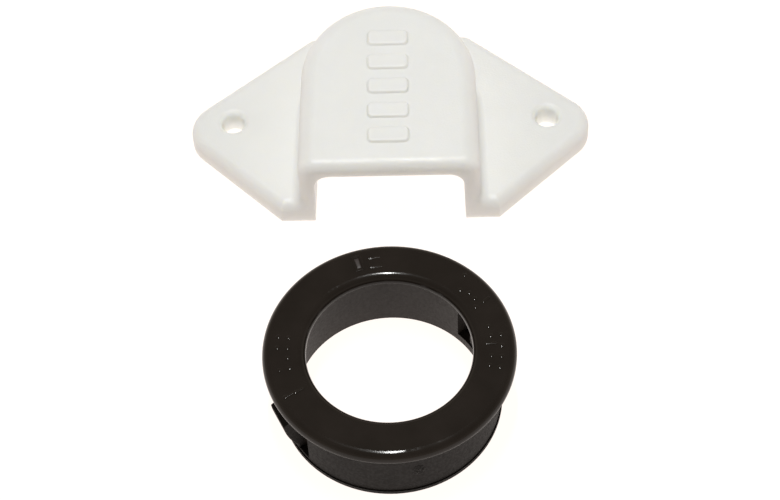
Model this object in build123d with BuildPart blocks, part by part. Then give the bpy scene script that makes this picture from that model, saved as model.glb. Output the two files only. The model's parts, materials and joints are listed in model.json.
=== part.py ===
"""Cable entry set for a desk or panel: a screw-on cable cover and a snap-in bushing.

The origin is midway between the cover's two screw holes, on the face that both pieces
rest on. +X runs through the screw holes, +Y points away from the cover's open mouth and
+Z is up. The bushing lies in front of the mouth, flange up, as a loose piece.
"""

import os
from math import cos, radians, sin

from build123d import *

# Cover: wings, which carry the screw holes
WING_TIP = (40.35, -0.45)  # where the front and back edges would meet, before rounding
WING_TIP_RADIUS = 6.4
FRONT_CORNER_X = 19.9
BACK_CORNER = (15.2, 20.9)
FRONT_Y = -20.0
BACK_Y = 22.0  # the back edge bows out to here behind the hood
WING_THICKNESS = 4.5
WING_SKIN = 2.2
HOLLOW_START_X = 13.0
SCREW_X = 29.4
SCREW_HOLE_RADIUS = 2.1
SCREW_MOUTH_RADIUS = 1.1
BOSS_RADIUS = 4.3

# Cover: hood, round at the back, open at the front, with a roof that climbs to the back
HOOD_RADIUS = 16.25
HOOD_CENTRE_Y = 1.0
HOOD_SPLAY = 1.0  # degrees that each side opens towards the front
HOOD_DRAFT = 1.0  # degrees
HOOD_FRONT_HEIGHT = 15.6
ROOF_SLOPE = 5.7  # degrees
HOOD_OVERRUN = 4.0  # how far past the front plane the hood and its channel are drawn
DRAWN_HEIGHT = 24.0  # how high both are drawn, before their sloping tops are cut
HOOD_FOOT_RADIUS = 1.6
ROOF_EDGE_RADIUS = 3.2
OUTER_EDGE_RADIUS = 2.1
FOOT_SEARCH = 0.5  # how far past the hood's foot its edges are looked for
CHANNEL_RADIUS = 13.4
CHANNEL_FRONT_HEIGHT = 12.9
CHANNEL_DRAFT = 1.8  # degrees
CHANNEL_EDGE_RADIUS = 2.8
UP_FROM_ROOF = (0, -sin(radians(ROOF_SLOPE)), cos(radians(ROOF_SLOPE)))
ROOF = Plane(origin=(0, FRONT_Y, HOOD_FRONT_HEIGHT), x_dir=(1, 0, 0), z_dir=UP_FROM_ROOF)
CEILING = Plane(origin=(0, FRONT_Y, CHANNEL_FRONT_HEIGHT), x_dir=(1, 0, 0), z_dir=UP_FROM_ROOF)

# Cover: plain raised bars along the roof
BAR_COUNT = 5
BAR_LENGTH = 7.4
BAR_WIDTH = 3.2
BAR_HEIGHT = 0.5
BAR_PITCH = 5.3
BAR_MIDDLE = 17.3  # from the roof's front edge, along the slope
BAR_CORNER_RADIUS = 0.9
BAR_EDGE_RADIUS = 0.45
BAR_FOOT_RADIUS = 0.3

# Bushing: flange and barrel
BUSHING_CENTRE = (0, -58.1)
BUSHING_AXIS = Axis((*BUSHING_CENTRE, 0), (0, 0, 1))
FLANGE_RADIUS = 21.2
FLANGE_TOP = 16.0
FLANGE_UNDERSIDE = 14.2
BORE_RADIUS = 13.9
SEAT_RADIUS = 19.0  # the land that fills the panel hole, just under the flange
SEAT_BOTTOM = 11.2
BARREL_RADIUS = 18.8
BARREL_INNER_RADIUS = 16.4
FOOT_BAND_TOP = 1.1
FOOT_CHAMFER = 0.3
FLANGE_TOP_EDGE = 1.45
FLANGE_LOWER_EDGE = 0.25
BORE_TOP_EDGE = 1.4
BORE_LOWER_EDGE = 0.2

# Bushing: two windows, each with a snap finger hinged at its sill
WINDOW_ANGLES = {"rear": 26.6, "front": 206.6}  # degrees from +X
WINDOW_HALF_WIDTH = 5.15
WINDOW_SILL = 1.8
CUT_FROM_RADIUS = 14.0  # the window is cut between these radii, past both faces of the wall
CUT_TO_RADIUS = 22.0
FINGER_HALF_WIDTH = 2.55
FINGER_INNER_RADIUS = 16.5
FINGER_TOP = 10.6
CATCH_RADIUS = 21.0
CATCH_Z = 10.1
CATCH_BACK = 0.9
BELLY_RADIUS = 20.25  # the outer face bows out through this point
BELLY_Z = 6.0
FINGER_EDGE_RADIUS = 0.25
PIVOT_RADIUS = 17.6
PIVOT_Z = 2.3
BEAD_RADIUS = 1.1
BEAD_CLEARANCE = 0.08
GROOVE_HALF_WIDTH = FINGER_HALF_WIDTH + 0.15

TOLERANCE = 1e-4


def hood_plan(radius, front_y, mode=Mode.ADD):
    """Draw a D in the current sketch: round behind, with sides that splay to front_y."""
    across = cos(radians(HOOD_SPLAY))
    back = sin(radians(HOOD_SPLAY))
    meet = (radius * across, HOOD_CENTRE_Y + radius * back)
    front_x = (radius + (HOOD_CENTRE_Y - front_y) * back) / across
    with BuildLine() as outline:
        Polyline((-meet[0], meet[1]), (-front_x, front_y), (front_x, front_y), meet)
        ThreePointArc(meet, (0, HOOD_CENTRE_Y + radius), (-meet[0], meet[1]))
    make_face(outline.edges(), mode=mode)


def radial_section(angle, half_width=0.0):
    """Plane whose x is the radius from the bushing's axis and whose y is the height.

    half_width moves the plane back along its normal, so that an extrusion of twice that
    much is centred on the angle.
    """
    outward = Vector(cos(radians(angle)), sin(radians(angle)), 0)
    sideways = Vector(sin(radians(angle)), -cos(radians(angle)), 0)
    return Plane(
        origin=Vector(*BUSHING_CENTRE, 0) - sideways * half_width,
        x_dir=outward,
        z_dir=sideways,
    )


def lies_at(edge, axis, value):
    """True where the whole edge keeps one coordinate, such as every point at Z = 4.5."""
    return all(abs(getattr(edge @ t, axis) - value) < TOLERANCE for t in (0, 0.5, 1))


def lies_on(edge, plane, height=0.0):
    """True where the whole edge keeps this height over a plane."""
    return all(abs(plane.to_local_coords(edge @ t).Z - height) < TOLERANCE for t in (0, 0.5, 1))


def is_ring(edge, radius, height):
    """True for a level circle of this radius at this height."""
    is_circle = edge.geom_type == GeomType.CIRCLE
    return is_circle and abs(edge.radius - radius) < TOLERANCE and lies_at(edge, "Z", height)


def hood_reach(edge):
    """Distance of an edge's middle from the hood's spine, which ends where the back is round."""
    middle = edge @ 0.5
    return Vector(middle.X, max(middle.Y - HOOD_CENTRE_Y, 0)).length


def is_hood_foot(edge):
    """True where the side of the hood meets the top of the wings."""
    beside_hood = (edge @ 0.5).Y > FRONT_Y + TOLERANCE and hood_reach(edge) < HOOD_RADIUS + FOOT_SEARCH
    return lies_at(edge, "Z", WING_THICKNESS) and beside_hood


def is_roof_edge(edge):
    """True around the roof's sides and back, but not across its front."""
    return lies_on(edge, ROOF) and not lies_at(edge, "Y", FRONT_Y)


def is_outer_edge(edge):
    """True around the top of the wings, and up and over the mouth in the front plane."""
    middle = edge @ 0.5
    foot_reach = HOOD_RADIUS + HOOD_FOOT_RADIUS + FOOT_SEARCH
    around_hood = middle.Y > FRONT_Y + TOLERANCE and hood_reach(edge) < foot_reach
    wing_rim = lies_at(edge, "Z", WING_THICKNESS) and not around_hood
    mouth_rim = lies_at(edge, "Y", FRONT_Y) and middle.Z > WING_THICKNESS + TOLERANCE
    return wing_rim or mouth_rim


# Cable cover -------------------------------------------------------------------------
with BuildPart() as cable_cover:
    with BuildSketch() as wing_plan:
        with BuildLine():
            Polyline((0, FRONT_Y), (FRONT_CORNER_X, FRONT_Y), WING_TIP, BACK_CORNER)
            mirror(about=Plane.YZ)
            ThreePointArc(BACK_CORNER, (0, BACK_Y), (-BACK_CORNER[0], BACK_CORNER[1]))
        make_face()
        fillet(wing_plan.vertices().group_by(Axis.X)[0], WING_TIP_RADIUS)
        fillet(wing_plan.vertices().group_by(Axis.X)[-1], WING_TIP_RADIUS)
    extrude(amount=WING_THICKNESS)

    # The hood is drawn past the front plane and cut there, so that only its sides draft.
    with BuildSketch():
        hood_plan(HOOD_RADIUS, FRONT_Y - HOOD_OVERRUN)
    extrude(amount=DRAWN_HEIGHT, taper=HOOD_DRAFT)
    split(bisect_by=Plane(origin=(0, FRONT_Y, 0), z_dir=(0, -1, 0)), keep=Keep.BOTTOM)
    split(bisect_by=ROOF, keep=Keep.BOTTOM)

    fillet(cable_cover.edges().filter_by(is_hood_foot), HOOD_FOOT_RADIUS)
    fillet(cable_cover.edges().filter_by(is_roof_edge), ROOF_EDGE_RADIUS)
    fillet(cable_cover.edges().filter_by(is_outer_edge), OUTER_EDGE_RADIUS)

    # Cable channel: open at the front and below
    with BuildPart(mode=Mode.SUBTRACT):
        with BuildSketch():
            hood_plan(CHANNEL_RADIUS, FRONT_Y - HOOD_OVERRUN)
        extrude(amount=DRAWN_HEIGHT, taper=CHANNEL_DRAFT)
        split(bisect_by=CEILING, keep=Keep.BOTTOM)
    ceiling = cable_cover.edges().filter_by(lambda e: lies_on(e, CEILING))
    fillet(ceiling.filter_by(lambda e: not lies_at(e, "Y", FRONT_Y)), CHANNEL_EDGE_RADIUS)

    # Each wing is hollow underneath, with a boss left around its screw hole.
    with BuildSketch():
        add(wing_plan.sketch)
        offset(amount=-WING_SKIN, mode=Mode.REPLACE)
        hood_plan(HOOD_RADIUS, FRONT_Y, mode=Mode.SUBTRACT)
        Rectangle(2 * HOLLOW_START_X, 2 * BACK_Y, mode=Mode.SUBTRACT)
        with Locations((-SCREW_X, 0), (SCREW_X, 0)):
            Circle(BOSS_RADIUS, mode=Mode.SUBTRACT)
    extrude(amount=WING_THICKNESS - WING_SKIN, mode=Mode.SUBTRACT)

    with Locations((-SCREW_X, 0, WING_THICKNESS), (SCREW_X, 0, WING_THICKNESS)):
        Hole(SCREW_HOLE_RADIUS)
    screw_mouths = cable_cover.edges().filter_by(lambda e: is_ring(e, SCREW_HOLE_RADIUS, WING_THICKNESS))
    fillet(screw_mouths, SCREW_MOUTH_RADIUS)

    # Plain raised bars along the middle of the roof
    with BuildSketch(ROOF):
        with Locations((0, BAR_MIDDLE)):
            with GridLocations(0, BAR_PITCH, 1, BAR_COUNT):
                RectangleRounded(BAR_LENGTH, BAR_WIDTH, BAR_CORNER_RADIUS)
    extrude(amount=BAR_HEIGHT)
    bar_tops = cable_cover.edges().filter_by(lambda e: lies_on(e, ROOF, BAR_HEIGHT))
    fillet(bar_tops, BAR_EDGE_RADIUS)
    bar_feet = cable_cover.edges().filter_by(lambda e: lies_on(e, ROOF) and abs((e @ 0.5).X) < BAR_LENGTH)
    fillet(bar_feet.filter_by(lambda e: e.length < BAR_LENGTH), BAR_FOOT_RADIUS)


# Bushing body ------------------------------------------------------------------------
with BuildPart() as grommet_body:
    with BuildSketch(radial_section(0)):
        with BuildLine():
            Polyline(
                (BARREL_INNER_RADIUS, 0),
                (SEAT_RADIUS - FOOT_CHAMFER, 0),
                (SEAT_RADIUS, FOOT_CHAMFER),
                (SEAT_RADIUS, FOOT_BAND_TOP),
                (BARREL_RADIUS, FOOT_BAND_TOP),
                (BARREL_RADIUS, SEAT_BOTTOM),
                (SEAT_RADIUS, SEAT_BOTTOM),
                (SEAT_RADIUS, FLANGE_UNDERSIDE),
                (FLANGE_RADIUS, FLANGE_UNDERSIDE),
                (FLANGE_RADIUS, FLANGE_TOP),
                (BORE_RADIUS, FLANGE_TOP),
                (BORE_RADIUS, FLANGE_UNDERSIDE),
                (BARREL_INNER_RADIUS, FLANGE_UNDERSIDE),
                close=True,
            )
        make_face()
    revolve(axis=BUSHING_AXIS)

    flange_rims = {
        (FLANGE_RADIUS, FLANGE_TOP): FLANGE_TOP_EDGE,
        (FLANGE_RADIUS, FLANGE_UNDERSIDE): FLANGE_LOWER_EDGE,
        (BORE_RADIUS, FLANGE_TOP): BORE_TOP_EDGE,
        (BORE_RADIUS, FLANGE_UNDERSIDE): BORE_LOWER_EDGE,
    }
    for ring, edge_radius in flange_rims.items():
        fillet(grommet_body.edges().filter_by(lambda e: is_ring(e, *ring)), edge_radius)

    # Each window has a groove in its sill, in which the finger's root bead turns.
    for angle in WINDOW_ANGLES.values():
        with BuildSketch(radial_section(angle, WINDOW_HALF_WIDTH)):
            with Locations(((CUT_FROM_RADIUS + CUT_TO_RADIUS) / 2, (WINDOW_SILL + SEAT_BOTTOM) / 2)):
                Rectangle(CUT_TO_RADIUS - CUT_FROM_RADIUS, SEAT_BOTTOM - WINDOW_SILL)
        extrude(amount=2 * WINDOW_HALF_WIDTH, mode=Mode.SUBTRACT)
        with BuildSketch(radial_section(angle, GROOVE_HALF_WIDTH)):
            with Locations((PIVOT_RADIUS, PIVOT_Z)):
                Circle(BEAD_RADIUS + BEAD_CLEARANCE)
        extrude(amount=2 * GROOVE_HALF_WIDTH, mode=Mode.SUBTRACT)


def make_snap_finger(angle):
    """A wedge that leans out of its window to catch the back of the panel, on a root bead."""
    with BuildPart() as finger:
        with BuildSketch(radial_section(angle, FINGER_HALF_WIDTH)):
            with BuildLine():
                root = (PIVOT_RADIUS + BEAD_RADIUS, PIVOT_Z)
                catch = (CATCH_RADIUS, CATCH_Z)
                ThreePointArc(root, (BELLY_RADIUS, BELLY_Z), catch)
                Polyline(
                    catch,
                    (CATCH_RADIUS - CATCH_BACK, FINGER_TOP),
                    (FINGER_INNER_RADIUS, FINGER_TOP),
                    (FINGER_INNER_RADIUS, PIVOT_Z),
                    root,
                )
            make_face()
            with Locations((PIVOT_RADIUS, PIVOT_Z)):
                Circle(BEAD_RADIUS)
        extrude(amount=2 * FINGER_HALF_WIDTH)
        above_root = finger.edges().filter_by(lambda e: (e @ 0.5).Z > PIVOT_Z + 2 * BEAD_RADIUS)
        fillet(above_root, FINGER_EDGE_RADIUS)
    return finger.part


# Every finished piece, one file each -------------------------------------------------
pieces = {"cable_cover": cable_cover.part, "grommet_body": grommet_body.part}
for place, angle in WINDOW_ANGLES.items():
    pieces[f"snap_finger_{place}"] = make_snap_finger(angle)

os.makedirs("parts", exist_ok=True)
for name, piece in pieces.items():
    piece.label = name
    export_step(piece, f"parts/{name}.step")
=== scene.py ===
"""Looks for a cable cover and its snap-in bushing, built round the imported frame.

Lengths are in metres, in the frame's own axes: +X runs through the cover's screw holes,
+Y points away from its mouth and +Z is up. Both pieces rest on z = 0.
"""

import json
from math import cos, pi, radians, sin, tau

import bmesh
import bpy
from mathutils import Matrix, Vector, noise


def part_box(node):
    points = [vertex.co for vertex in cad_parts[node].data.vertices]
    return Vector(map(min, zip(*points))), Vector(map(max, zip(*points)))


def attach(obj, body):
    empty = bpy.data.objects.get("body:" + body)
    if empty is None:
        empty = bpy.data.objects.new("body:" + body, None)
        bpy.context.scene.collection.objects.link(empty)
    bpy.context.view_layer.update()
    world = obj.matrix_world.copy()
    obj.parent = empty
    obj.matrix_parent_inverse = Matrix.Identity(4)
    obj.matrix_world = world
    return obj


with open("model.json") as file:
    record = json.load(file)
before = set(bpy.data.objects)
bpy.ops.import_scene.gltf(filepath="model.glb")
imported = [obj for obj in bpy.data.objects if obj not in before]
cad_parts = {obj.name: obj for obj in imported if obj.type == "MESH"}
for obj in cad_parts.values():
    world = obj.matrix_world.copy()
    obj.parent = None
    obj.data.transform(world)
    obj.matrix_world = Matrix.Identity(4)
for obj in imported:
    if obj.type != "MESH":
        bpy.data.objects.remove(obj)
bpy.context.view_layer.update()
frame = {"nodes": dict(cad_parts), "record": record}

MM = 0.001
MOUNTS = {mount["name"]: mount for mount in frame["record"]["mounts"]}

# Camera: how it stands to the object, as azimuth 0 looks along +Y
CAMERA_AZIMUTH = 2.03  # degrees
CAMERA_ELEVATION = 54.41  # degrees
CAMERA_ROLL = 2.77  # degrees, clockwise as seen from behind it
CAMERA_DISTANCE = 0.3613
CAMERA_LENS = 92.04  # mm on a 36 mm sensor
TARGET = (-0.19 * MM, -26.97 * MM, 0.0)  # where it looks, on the floor between the pieces

# Light: a narrow softbox almost overhead, a warm horizon and a floor that glows a little
KEY_AZIMUTH = -1.4  # degrees
KEY_ELEVATION = 92.0  # degrees, leaning a little to the far side
KEY_DISTANCE = 0.7
KEY_WIDTH = 0.03
KEY_LENGTH = 0.3
KEY_SHIFT = -8 * MM  # along X, to the left of the target
KEY_POWER = 3.8  # watts
KEY_COLOUR = (0.995, 1.0, 0.985)
HORIZON_COLOUR = (0.48, 0.415, 0.35, 1.0)
HORIZON_TOP = 0.22  # sine of the elevation where the sky starts to darken
ZENITH_COLOUR = (0.15, 0.14, 0.125, 1.0)
ZENITH_START = 0.6  # sine of the elevation where it stops
FLOOR_SIZE = 8.0
FLOOR_COLOUR = (0.12, 0.12, 0.12, 1.0)
FLOOR_GLOW = (1.1, 1.005, 0.945, 1.0)
FLOOR_GLOW_STRENGTH = 1.0

# Colours, in pairs where one is mottled with the other
COVER_WHITES = ((0.8, 0.81, 0.81, 1.0), (0.785, 0.795, 0.79, 1.0))
# Painted light: a whiter colour on the walls of the screw holes, standing in for light that brightens
# them
SCREW_HOLE_PAINTED_LIGHT = (0.94, 0.975, 0.95, 1.0)
FLANGE_BLACKS = ((0.02, 0.0158, 0.013, 1.0), (0.0155, 0.0122, 0.0098, 1.0))
# Painted light and shade: one nylon in a darker copy for the barrel's outside and a paler copy for its
# inside
BARREL_OUTSIDE_PAINTED_SHADE_BLACKS = ((0.0095, 0.0077, 0.0066, 1.0), (0.007, 0.0056, 0.0048, 1.0))
BARREL_INSIDE_PAINTED_LIGHT_BLACKS = ((0.028, 0.0225, 0.0195, 1.0), (0.023, 0.018, 0.0155, 1.0))
MATT_BLACKS = ((0.034, 0.024, 0.022, 1.0), (0.022, 0.016, 0.014, 1.0))
FADE = 0.3 * MM  # width of the change from one finish or colour to the next, also into the painted light and shade of the barrel and the screw holes; doubled at the screw holes

# Screw holes in the cover
SCREW_X = MOUNTS["cover_screws"]["dims"]["spacing_x_mm"] * MM / 2
SCREW_HOLE_RADIUS = MOUNTS["cover_screws"]["dims"]["hole_r_mm"] * MM

# Bushing: its box and flange from the frame, and the radii of the CAD model's barrel
BUSHING_LOW, BUSHING_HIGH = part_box("grommet_body")
BUSHING_AXIS = (BUSHING_LOW + BUSHING_HIGH) / 2
FLANGE_TOP = BUSHING_HIGH.z
FLANGE_UNDERSIDE = MOUNTS["flange_underside"]["pos_m"][2]
BARREL_RADIUS = 18.8 * MM
BARREL_MID_RADIUS = 17.6 * MM  # the middle of the barrel's wall

# Marks on the flange: plain dots and bars, low and rounded
MARK_HEIGHT = 0.13 * MM
MARK_SINK = 0.05 * MM
DOT_RADIUS = 0.45 * MM
BAR_HALF_WIDTH = 0.3 * MM
FRAME_BAR_SCALE = 0.8  # how the frames' bars compare with the others, in width and height
PAD_HEIGHT = 0.7 * MARK_HEIGHT
TALL_DOT_HEIGHT = 1.4 * MARK_HEIGHT

# The moulding gate's scar, half way up the front of the barrel
GATE_AZIMUTH = 284  # degrees from +X
GATE_HEIGHT = 6.9 * MM
GATE_HALF_WIDTH = 1.15 * MM
GATE_HALF_HEIGHT = 1.5 * MM
GATE_RELIEF = 0.22 * MM


# Camera and lights --------------------------------------------------------------------
def direction(azimuth, elevation):
    """Unit vector from the object towards a place at this azimuth and elevation."""
    a = radians(azimuth)
    e = radians(elevation)
    return Vector((sin(a) * cos(e), -cos(a) * cos(e), sin(e)))


def aim(thing, target, azimuth, elevation, distance):
    """Put a camera or a light at a distance from the target, pointing at it."""
    back = direction(azimuth, elevation)
    thing.location = target + back * distance
    thing.rotation_euler = (-back).to_track_quat("-Z", "Y").to_euler()
    bpy.context.scene.collection.objects.link(thing)


def make_camera(target):
    data = bpy.data.cameras.new("camera")
    data.lens = CAMERA_LENS
    data.sensor_width = 36
    data.clip_start = 0.01
    data.clip_end = 20
    camera = bpy.data.objects.new("camera", data)
    aim(camera, target, CAMERA_AZIMUTH, CAMERA_ELEVATION, CAMERA_DISTANCE)
    camera.rotation_euler.rotate_axis("Z", -radians(CAMERA_ROLL))
    bpy.context.scene.camera = camera


def make_key_light(target):
    data = bpy.data.lights.new("key", "AREA")
    data.shape = "ELLIPSE"
    data.size = KEY_WIDTH
    data.size_y = KEY_LENGTH
    data.energy = KEY_POWER
    data.color = KEY_COLOUR
    key = bpy.data.objects.new("key", data)
    aim(key, target, KEY_AZIMUTH, KEY_ELEVATION, KEY_DISTANCE)


def make_world():
    """Warm and bright all round the horizon and dim overhead."""
    world = bpy.data.worlds.new("tent")
    world.use_nodes = True
    bpy.context.scene.world = world
    tree = world.node_tree
    coordinates = tree.nodes.new("ShaderNodeTexCoord")
    split = tree.nodes.new("ShaderNodeSeparateXYZ")
    ramp = tree.nodes.new("ShaderNodeValToRGB")
    ramp.color_ramp.elements[0].position = HORIZON_TOP
    ramp.color_ramp.elements[0].color = HORIZON_COLOUR
    ramp.color_ramp.elements[1].position = ZENITH_START
    ramp.color_ramp.elements[1].color = ZENITH_COLOUR
    tree.links.new(coordinates.outputs["Generated"], split.inputs["Vector"])
    tree.links.new(split.outputs["Z"], ramp.inputs["Fac"])
    tree.links.new(ramp.outputs["Color"], tree.nodes["Background"].inputs["Color"])


# Materials ----------------------------------------------------------------------------
def new_material(name):
    material = bpy.data.materials.new(name)
    material.use_nodes = True
    return material, material.node_tree, material.node_tree.nodes["Principled BSDF"]


def place_on_object(tree):
    """Node whose X, Y and Z are the point's place in the object's own axes."""
    coordinates = tree.nodes.new("ShaderNodeTexCoord")
    split = tree.nodes.new("ShaderNodeSeparateXYZ")
    tree.links.new(coordinates.outputs["Object"], split.inputs["Vector"])
    return split


def grain(tree, size, detail=2.0, roughness=0.5):
    """Noise whose blotches are about this size, fixed to the object. Returns its 0-1 output."""
    coordinates = tree.nodes.new("ShaderNodeTexCoord")
    texture = tree.nodes.new("ShaderNodeTexNoise")
    texture.inputs["Scale"].default_value = 1 / size
    texture.inputs["Detail"].default_value = detail
    texture.inputs["Roughness"].default_value = roughness
    tree.links.new(coordinates.outputs["Object"], texture.inputs["Vector"])
    return texture.outputs["Fac"]


def spread(tree, value, low, high, start=0.3, end=0.7):
    """Stretch a value from start-end to low-high, clamped."""
    node = tree.nodes.new("ShaderNodeMapRange")
    node.inputs["From Min"].default_value = start
    node.inputs["From Max"].default_value = end
    node.inputs["To Min"].default_value = low
    node.inputs["To Max"].default_value = high
    tree.links.new(value, node.inputs["Value"])
    return node.outputs["Result"]


def mix_colours(tree, factor, first, second):
    node = tree.nodes.new("ShaderNodeMix")
    node.data_type = "RGBA"
    tree.links.new(factor, node.inputs["Factor"])
    for socket, colour in (("A", first), ("B", second)):
        target = [s for s in node.inputs if s.name == socket and s.type == "RGBA"][0]
        if isinstance(colour, tuple):
            target.default_value = colour
        else:
            tree.links.new(colour, target)
    return [s for s in node.outputs if s.type == "RGBA"][0]


def mix_values(tree, factor, first, second):
    node = tree.nodes.new("ShaderNodeMix")
    for name, value in (("Factor", factor), ("A", first), ("B", second)):
        tree.links.new(value, node.inputs[name])
    return node.outputs["Result"]


def distance_from_axis(tree, split, x, y, both_sides=False):
    """Distance from an upright axis at x, y, and from its mirror image at -x if asked for."""
    across = split.outputs["X"]
    if both_sides:
        size = tree.nodes.new("ShaderNodeMath")
        size.operation = "ABSOLUTE"
        tree.links.new(across, size.inputs[0])
        across = size.outputs["Value"]
    flat = tree.nodes.new("ShaderNodeCombineXYZ")
    tree.links.new(across, flat.inputs["X"])
    tree.links.new(split.outputs["Y"], flat.inputs["Y"])
    distance = tree.nodes.new("ShaderNodeVectorMath")
    distance.operation = "DISTANCE"
    distance.inputs[1].default_value = (x, y, 0)
    tree.links.new(flat.outputs["Vector"], distance.inputs[0])
    return distance.outputs["Value"]


def bump(tree, height, depth, under=None):
    """Raise the surface by up to depth where height is 1, on top of another bump."""
    node = tree.nodes.new("ShaderNodeBump")
    node.inputs["Distance"].default_value = depth
    tree.links.new(height, node.inputs["Height"])
    if under is not None:
        tree.links.new(under, node.inputs["Normal"])
    return node.outputs["Normal"]


def make_cover_plastic():
    """Off-white moulded plastic: satin, a little translucent, with painted light inside the screw
    holes, whose walls are made whiter.
    """
    material, tree, shader = new_material("cover_plastic")
    shader.inputs["IOR"].default_value = 1.46
    shader.inputs["Subsurface Weight"].default_value = 0.6
    shader.inputs["Subsurface Radius"].default_value = (1.0, 0.95, 0.8)
    shader.inputs["Subsurface Scale"].default_value = 2.2 * MM
    mottle = spread(tree, grain(tree, 9 * MM, 3), 0, 1)
    colour = mix_colours(tree, mottle, *COVER_WHITES)
    from_screw = distance_from_axis(tree, place_on_object(tree), SCREW_X, 0, both_sides=True)
    # Painted light: the walls of the screw holes blend to a whiter colour
    hole_painted_light = spread(tree, from_screw, 1, 0, SCREW_HOLE_RADIUS, SCREW_HOLE_RADIUS + 2 * FADE)
    tree.links.new(mix_colours(tree, hole_painted_light, colour, SCREW_HOLE_PAINTED_LIGHT), shader.inputs["Base Color"])
    tree.links.new(spread(tree, grain(tree, 2.2 * MM, 3), 0.37, 0.5), shader.inputs["Roughness"])
    waves = bump(tree, grain(tree, 3.5 * MM, 1), 0.05 * MM)
    skin = bump(tree, grain(tree, 0.34 * MM, 2), 0.034 * MM, waves)
    tree.links.new(skin, shader.inputs["Normal"])
    return material


def make_bushing_nylon():
    """Near-black nylon: polished on the flange, spark-grained below it, with painted light making the
    inside of the barrel paler and painted shade making its outside darker.
    """
    material, tree, shader = new_material("bushing_nylon")
    shader.inputs["IOR"].default_value = 1.29
    split = place_on_object(tree)
    below = FLANGE_UNDERSIDE - FADE / 3
    flange = spread(tree, split.outputs["Z"], 0, 1, below, below + FADE)
    radius = distance_from_axis(tree, split, BUSHING_AXIS.x, BUSHING_AXIS.y)
    outer = spread(tree, radius, 0, 1, BARREL_MID_RADIUS, BARREL_MID_RADIUS + FADE)

    mottle = spread(tree, grain(tree, 6 * MM, 3), 0, 1)
    polished = mix_colours(tree, mottle, *FLANGE_BLACKS)
    # Painted shade outside the barrel and painted light inside it, split at the middle of the wall
    outside = mix_colours(tree, mottle, *BARREL_OUTSIDE_PAINTED_SHADE_BLACKS)
    inside = mix_colours(tree, mottle, *BARREL_INSIDE_PAINTED_LIGHT_BLACKS)
    grained = mix_colours(tree, outer, inside, outside)
    tree.links.new(mix_colours(tree, flange, grained, polished), shader.inputs["Base Color"])

    smears = spread(tree, grain(tree, 5 * MM, 4, 0.6), 0.09, 0.15)
    speckle = grain(tree, 0.5 * MM, 2)
    rough_inside = spread(tree, speckle, 0.42, 0.56)
    rough = mix_values(tree, outer, rough_inside, spread(tree, speckle, 0.6, 0.76))
    tree.links.new(mix_values(tree, flange, rough, smears), shader.inputs["Roughness"])

    waves = bump(tree, grain(tree, 4 * MM, 1), 0.014 * MM)
    sparks = tree.nodes.new("ShaderNodeMath")
    sparks.operation = "MULTIPLY"
    tree.links.new(grain(tree, 0.22 * MM, 2), sparks.inputs[0])
    tree.links.new(spread(tree, flange, 1, 0.12, 0, 1), sparks.inputs[1])
    tree.links.new(bump(tree, sparks.outputs["Value"], 0.02 * MM, waves), shader.inputs["Normal"])
    return material


def make_matt_nylon():
    """The same nylon where the mould was left rough."""
    material, tree, shader = new_material("bushing_nylon_matt")
    shader.inputs["IOR"].default_value = 1.5
    mottle = spread(tree, grain(tree, 0.5 * MM), 0, 1)
    colour = mix_colours(tree, mottle, *MATT_BLACKS)
    tree.links.new(colour, shader.inputs["Base Color"])
    tree.links.new(spread(tree, grain(tree, 0.3 * MM), 0.4, 0.6), shader.inputs["Roughness"])
    tree.links.new(bump(tree, grain(tree, 0.2 * MM), 0.02 * MM), shader.inputs["Normal"])
    return material


def make_floor():
    """A wide plain floor that glows a little, so that shadows on it stay faint."""
    material, tree, shader = new_material("floor")
    shader.inputs["Base Color"].default_value = FLOOR_COLOUR
    shader.inputs["Roughness"].default_value = 0.9
    shader.inputs["Specular IOR Level"].default_value = 0.0
    shader.inputs["Emission Color"].default_value = FLOOR_GLOW
    shader.inputs["Emission Strength"].default_value = FLOOR_GLOW_STRENGTH
    mesh = bpy.data.meshes.new("floor")
    floor = bpy.data.objects.new("floor", mesh)
    bm = bmesh.new()
    bmesh.ops.create_grid(bm, x_segments=1, y_segments=1, size=FLOOR_SIZE / 2)
    bm.to_mesh(mesh)
    bm.free()
    mesh.materials.append(material)
    bpy.context.scene.collection.objects.link(floor)


# Marks on the flange ------------------------------------------------------------------
def on_flange(radius, azimuth):
    """Point on the flange's top at a radius from the bushing's axis, azimuth from +X."""
    a = radians(azimuth)
    return Vector((BUSHING_AXIS.x + radius * cos(a), BUSHING_AXIS.y + radius * sin(a), FLANGE_TOP))


def add_ridge(bm, start, end, half_width, height, steps=8):
    """A rounded ridge from start to end with domed ends, or a dome where they coincide."""
    along = end - start
    forward = along.normalized() if along.length > 0 else Vector((1, 0, 0))
    side = Vector((0, 0, 1)).cross(forward)
    rings = []
    turns = 4 * steps
    for level in range(steps):
        tilt = pi / 2 * level / steps
        ring = []
        for step in range(turns):
            turn = tau * step / turns
            middle = end if step <= steps or step > 3 * steps else start
            flat = forward * cos(turn) + side * sin(turn)
            rise = Vector((0, 0, height * sin(tilt)))
            ring.append(bm.verts.new(middle + flat * half_width * cos(tilt) + rise))
        rings.append(ring)
    foot = [bm.verts.new(v.co - Vector((0, 0, MARK_SINK))) for v in rings[0]]
    for lower, upper in zip([foot] + rings, rings):
        for step in range(turns):
            after = (step + 1) % turns
            bm.faces.new((lower[step], lower[after], upper[after], upper[step]))
    bm.faces.new(rings[-1])
    bm.faces.new(list(reversed(foot)))


def add_grid(bm, grid):
    """Four-sided faces between the rows and columns of a grid of vertices."""
    for lower, upper in zip(grid, grid[1:]):
        for left, right, above_right, above_left in zip(lower, lower[1:], upper[1:], upper):
            bm.faces.new((left, right, above_right, above_left))


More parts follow.
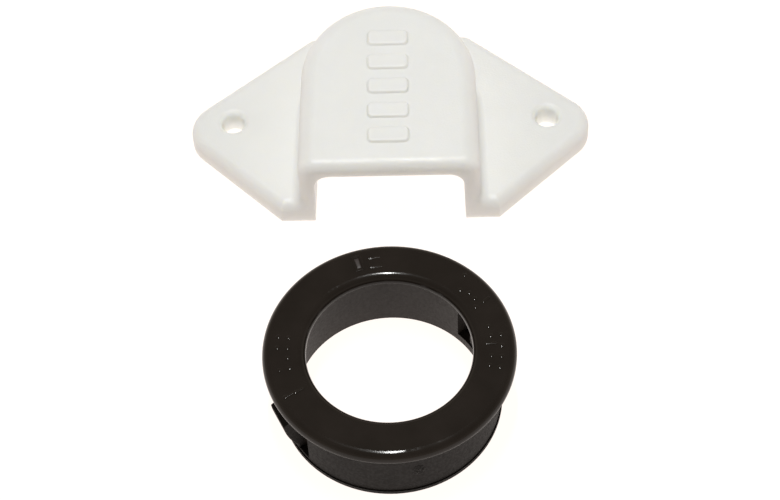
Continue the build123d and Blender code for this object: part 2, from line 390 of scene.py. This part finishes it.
def add_scar(bm, steps=40):
    """A rough low blister on the barrel, as a gate leaves where it is snapped off."""
    grid = []
    for row in range(steps + 1):
        line = []
        for column in range(steps + 1):
            u = 2 * column / steps - 1
            v = 2 * row / steps - 1
            swell = max(0, 1 - u * u - v * v) ** 0.5
            coarse = noise.noise(Vector((2.3 * u, 2.3 * v, 4.0)))
            fine = noise.noise(Vector((6 * u, 6 * v, 9.0)))
            relief = GATE_RELIEF * swell * (0.55 + 0.9 * (coarse + 0.5 * fine))
            reach = BARREL_RADIUS - MARK_SINK + max(0, relief) + MARK_SINK * min(1, 3 * swell)
            turn = radians(GATE_AZIMUTH) + u * GATE_HALF_WIDTH / BARREL_RADIUS
            across = Vector((cos(turn), sin(turn), 0)) * reach
            middle = Vector((BUSHING_AXIS.x, BUSHING_AXIS.y, GATE_HEIGHT + v * GATE_HALF_HEIGHT))
            line.append(bm.verts.new(middle + across))
        grid.append(line)
    add_grid(bm, grid)


def make_piece(name, bm, material, body):
    """Turn a bmesh into a smooth-shaded piece that rides on a body."""
    bmesh.ops.recalc_face_normals(bm, faces=bm.faces)
    mesh = bpy.data.meshes.new(name)
    bm.to_mesh(mesh)
    bm.free()
    mesh.materials.append(material)
    mesh.shade_smooth()
    piece = bpy.data.objects.new(name, mesh)
    bpy.context.scene.collection.objects.link(piece)
    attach(piece, body)


def add_dot(bm, radius, azimuth, height=MARK_HEIGHT):
    """A dot on the flange, at a radius in millimetres."""
    place = on_flange(radius * MM, azimuth)
    add_ridge(bm, place, place, DOT_RADIUS, height)


def add_bar(bm, start, end, scale=1):
    """A bar on the flange between two places, each a radius in millimetres and an azimuth."""
    ends = [on_flange(radius * MM, azimuth) for radius, azimuth in (start, end)]
    add_ridge(bm, *ends, BAR_HALF_WIDTH * scale, MARK_HEIGHT * scale)


def make_left_marks(material):
    """Two columns of dots with one missing, and a bar that carries two taller dots."""
    first_row = 172.7
    row_step = 6.8
    bar_azimuth = 209
    bm = bmesh.new()
    for row in range(4):
        for column, radius in enumerate((16.9, 18.6)):
            if (row, column) != (2, 1):
                add_dot(bm, radius, first_row + row_step * row)
    add_bar(bm, (16.15, bar_azimuth), (19.4, bar_azimuth))
    for radius in (17.5, 19.4):
        add_dot(bm, radius, bar_azimuth, TALL_DOT_HEIGHT)
    make_piece("flange_marks_left", bm, material, "bushing")


def make_right_marks(material):
    """Two columns of dots with two missing, and a short bar in one of those gaps."""
    first_row = 12.6
    row_step = -6.5
    bar_azimuth = 1
    bm = bmesh.new()
    for row in range(5):
        for column, radius in enumerate((17.0, 18.7)):
            if (row, column) not in ((0, 1), (2, 0)):
                add_dot(bm, radius, first_row + row_step * row)
    add_bar(bm, (16.1, bar_azimuth), (17.7, bar_azimuth))
    make_piece("flange_marks_right", bm, material, "bushing")


def make_upper_marks(material):
    """Five uneven dots in a row round the flange, and a short bar outside the last of them."""
    first_dot = 47.8
    dot_step = -5
    bm = bmesh.new()
    for dot, radius in enumerate((19.1, 16.4, 17.15, 17.15, 16.4)):
        add_dot(bm, radius, first_dot + dot_step * dot)
    add_bar(bm, (18.1, 28.5), (19.2, 29.5))
    make_piece("flange_marks_upper", bm, material, "bushing")


def add_pillow(bm, inner, outer, first, last, height, steps=16):
    """A low pad on the flange between two radii and two azimuths, highest in the middle."""
    grid = []
    for row in range(steps + 1):
        line = []
        for column in range(steps + 1):
            u = column / steps
            v = row / steps
            swell = (1 - (2 * u - 1) ** 4) * (1 - (2 * v - 1) ** 4)
            foot = on_flange(inner + (outer - inner) * u, first + (last - first) * v)
            line.append(bm.verts.new(foot + Vector((0, 0, height * swell - MARK_SINK * (swell == 0)))))
        grid.append(line)
    add_grid(bm, grid)


def make_frame_marks(material, matt):
    """Two small rectangles, drawn by four bars each, and a matt pad inside one of them."""
    bm = bmesh.new()
    add_pillow(bm, 16.7 * MM, 18.9 * MM, 106, 108.6, PAD_HEIGHT)
    make_piece("flange_pad", bm, matt, "bushing")
    bm = bmesh.new()
    for inner, outer, first, last in ((16.4, 19.2, 105.2, 109.4), (16.4, 18.3, 94.5, 101.2)):
        corners = [(inner, first), (outer, first), (outer, last), (inner, last)]
        for start, end in zip(corners, corners[1:] + corners[:1]):
            add_bar(bm, start, end, FRAME_BAR_SCALE)
    make_piece("flange_marks_frames", bm, material, "bushing")


def make_gate_scar(material):
    bm = bmesh.new()
    add_scar(bm)
    make_piece("gate_scar", bm, material, "bushing")


# The scene ----------------------------------------------------------------------------
make_camera(Vector(TARGET))
make_key_light(Vector(TARGET) + Vector((KEY_SHIFT, 0, 0)))
make_world()
make_floor()
bpy.context.scene.view_settings.view_transform = "Standard"

cover_plastic = make_cover_plastic()
bushing_nylon = make_bushing_nylon()
frame["nodes"]["cable_cover"].material_slots[0].material = cover_plastic
for name in ("grommet_body", "snap_finger_rear", "snap_finger_front"):
    frame["nodes"][name].material_slots[0].material = bushing_nylon

make_left_marks(bushing_nylon)
make_right_marks(bushing_nylon)
make_upper_marks(bushing_nylon)
make_frame_marks(bushing_nylon, make_matt_nylon())
make_gate_scar(bushing_nylon)
